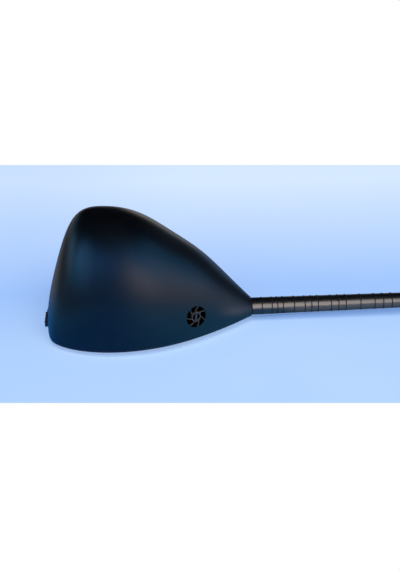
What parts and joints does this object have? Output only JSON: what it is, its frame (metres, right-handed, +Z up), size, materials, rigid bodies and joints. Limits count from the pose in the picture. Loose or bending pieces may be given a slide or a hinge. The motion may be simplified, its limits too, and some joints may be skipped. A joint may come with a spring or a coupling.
{
  "type": "baglama",
  "caption": "Short-neck baglama lying face down: deep rounded bowl with a carved side rosette, slender neck with tied frets, leaning head with turning pegs.",
  "frame": {"origin": "centre of the bounding box at ground level, where the bridge and the first front peg rest", "axes": "+X from the tail to the head, +Z up towards the back of the bowl, -Y the bass side"},
  "size_m": [0.9656, 0.2474, 0.2414],
  "materials": {
    "bowl": "black satin lacquer over wood",
    "edge": "black binding",
    "spruce": "oiled spruce",
    "inner_wood": "bare wood",
    "neck": "black gloss lacquer over wood",
    "ebony": "dark wood",
    "bone": "polished",
    "maple": "bare wood",
    "fret_line": "dark nylon line",
    "steel": "plain and wound wire"
  },
  "bodies": {
    "instrument": {"bowl": "bowl", "brace_neck": "inner_wood", "brace_tail": "inner_wood", "edge_binding": "edge", "fingerboard": "ebony", "head": "neck", "neck": "neck", "neck_block": "inner_wood", "nut": "bone", "soundboard": "spruce", "string_1": "steel", "string_2": "steel", "string_3": "steel", "string_4": "steel", "string_5": "steel", "string_6": "steel", "string_7": "steel", "string_holder": "ebony", "tail_block": "inner_wood"},
    "bridge": {"bridge": "maple"},
    "fret_01": {"fret_01": "fret_line"},
    "fret_02": {"fret_02": "fret_line"},
    "fret_03": {"fret_03": "fret_line"},
    "fret_04": {"fret_04": "fret_line"},
    "fret_05": {"fret_05": "fret_line"},
    "fret_06": {"fret_06": "fret_line"},
    "fret_07": {"fret_07": "fret_line"},
    "fret_08": {"fret_08": "fret_line"},
    "fret_09": {"fret_09": "fret_line"},
    "fret_10": {"fret_10": "fret_line"},
    "fret_11": {"fret_11": "fret_line"},
    "fret_12": {"fret_12": "fret_line"},
    "fret_13": {"fret_13": "fret_line"},
    "fret_14": {"fret_14": "fret_line"},
    "fret_15": {"fret_15": "fret_line"},
    "fret_16": {"fret_16": "fret_line"},
    "fret_17": {"fret_17": "fret_line"},
    "fret_18": {"fret_18": "fret_line"},
    "peg_side_1": {"peg_side_1": "ebony"},
    "peg_side_2": {"peg_side_2": "ebony"},
    "peg_side_3": {"peg_side_3": "ebony"},
    "peg_front_1": {"peg_front_1": "ebony"},
    "peg_front_2": {"peg_front_2": "ebony"},
    "peg_front_3": {"peg_front_3": "ebony"},
    "peg_front_4": {"peg_front_4": "ebony"}
  },
  "joints": [
    {"name": "bridge_shift", "type": "slide", "parent": "instrument", "child": "bridge", "axis": [0.9998, 0, 0.0189], "range_m": [-0.003, 0.003]},
    {"name": "fret_01_shift", "type": "slide", "parent": "instrument", "child": "fret_01", "axis": [0.9998, 0, 0.0189], "range_m": [-0.003, 0.003]},
    {"name": "fret_02_shift", "type": "slide", "parent": "instrument", "child": "fret_02", "axis": [0.9998, 0, 0.0189], "range_m": [-0.003, 0.003]},
    {"name": "fret_03_shift", "type": "slide", "parent": "instrument", "child": "fret_03", "axis": [0.9998, 0, 0.0189], "range_m": [-0.003, 0.003]},
    {"name": "fret_04_shift", "type": "slide", "parent": "instrument", "child": "fret_04", "axis": [0.9998, 0, 0.0189], "range_m": [-0.003, 0.003]},
    {"name": "fret_05_shift", "type": "slide", "parent": "instrument", "child": "fret_05", "axis": [0.9998, 0, 0.0189], "range_m": [-0.003, 0.003]},
    {"name": "fret_06_shift", "type": "slide", "parent": "instrument", "child": "fret_06", "axis": [0.9998, 0, 0.0189], "range_m": [-0.003, 0.003]},
    {"name": "fret_07_shift", "type": "slide", "parent": "instrument", "child": "fret_07", "axis": [0.9998, 0, 0.0189], "range_m": [-0.003, 0.003]},
    {"name": "fret_08_shift", "type": "slide", "parent": "instrument", "child": "fret_08", "axis": [0.9998, 0, 0.0189], "range_m": [-0.003, 0.003]},
    {"name": "fret_09_shift", "type": "slide", "parent": "instrument", "child": "fret_09", "axis": [0.9998, 0, 0.0189], "range_m": [-0.003, 0.003]},
    {"name": "fret_10_shift", "type": "slide", "parent": "instrument", "child": "fret_10", "axis": [0.9998, 0, 0.0189], "range_m": [-0.003, 0.003]},
    {"name": "fret_11_shift", "type": "slide", "parent": "instrument", "child": "fret_11", "axis": [0.9998, 0, 0.0189], "range_m": [-0.003, 0.003]},
    {"name": "fret_12_shift", "type": "slide", "parent": "instrument", "child": "fret_12", "axis": [0.9998, 0, 0.0189], "range_m": [-0.003, 0.003]},
    {"name": "fret_13_shift", "type": "slide", "parent": "instrument", "child": "fret_13", "axis": [0.9998, 0, 0.0189], "range_m": [-0.003, 0.003]},
    {"name": "fret_14_shift", "type": "slide", "parent": "instrument", "child": "fret_14", "axis": [0.9998, 0, 0.0189], "range_m": [-0.003, 0.003]},
    {"name": "fret_15_shift", "type": "slide", "parent": "instrument", "child": "fret_15", "axis": [0.9998, 0, 0.0189], "range_m": [-0.003, 0.003]},
    {"name": "fret_16_shift", "type": "slide", "parent": "instrument", "child": "fret_16", "axis": [0.9998, 0, 0.0189], "range_m": [-0.003, 0.003]},
    {"name": "fret_17_shift", "type": "slide", "parent": "instrument", "child": "fret_17", "axis": [0.9998, 0, 0.0189], "range_m": [-0.003, 0.003]},
    {"name": "fret_18_shift", "type": "slide", "parent": "instrument", "child": "fret_18", "axis": [0.9998, 0, 0.0189], "range_m": [-0.003, 0.003]},
    {"name": "peg_side_1_turn", "type": "hinge", "parent": "instrument", "child": "peg_side_1", "pos_m": [0.35478, -0.0144, 0.04328], "axis": [0, -1, 0], "continuous": true},
    {"name": "peg_side_2_turn", "type": "hinge", "parent": "instrument", "child": "peg_side_2", "pos_m": [0.39421, -0.0144, 0.05029], "axis": [0, -1, 0], "continuous": true},
    {"name": "peg_side_3_turn", "type": "hinge", "parent": "instrument", "child": "peg_side_3", "pos_m": [0.43364, -0.0144, 0.0573], "axis": [0, -1, 0], "continuous": true},
    {"name": "peg_front_1_turn", "type": "hinge", "parent": "instrument", "child": "peg_front_1", "pos_m": [0.33734, 0.00144, 0.02951], "axis": [0.1751, 0, -0.9846], "continuous": true},
    {"name": "peg_front_2_turn", "type": "hinge", "parent": "instrument", "child": "peg_front_2", "pos_m": [0.37677, 0.00216, 0.03653], "axis": [0.1751, 0, -0.9846], "continuous": true},
    {"name": "peg_front_3_turn", "type": "hinge", "parent": "instrument", "child": "peg_front_3", "pos_m": [0.4162, 0.00331, 0.04354], "axis": [0.1751, 0, -0.9846], "continuous": true},
    {"name": "peg_front_4_turn", "type": "hinge", "parent": "instrument", "child": "peg_front_4", "pos_m": [0.45563, 0.00475, 0.05055], "axis": [0.1751, 0, -0.9846], "continuous": true}
  ]
}
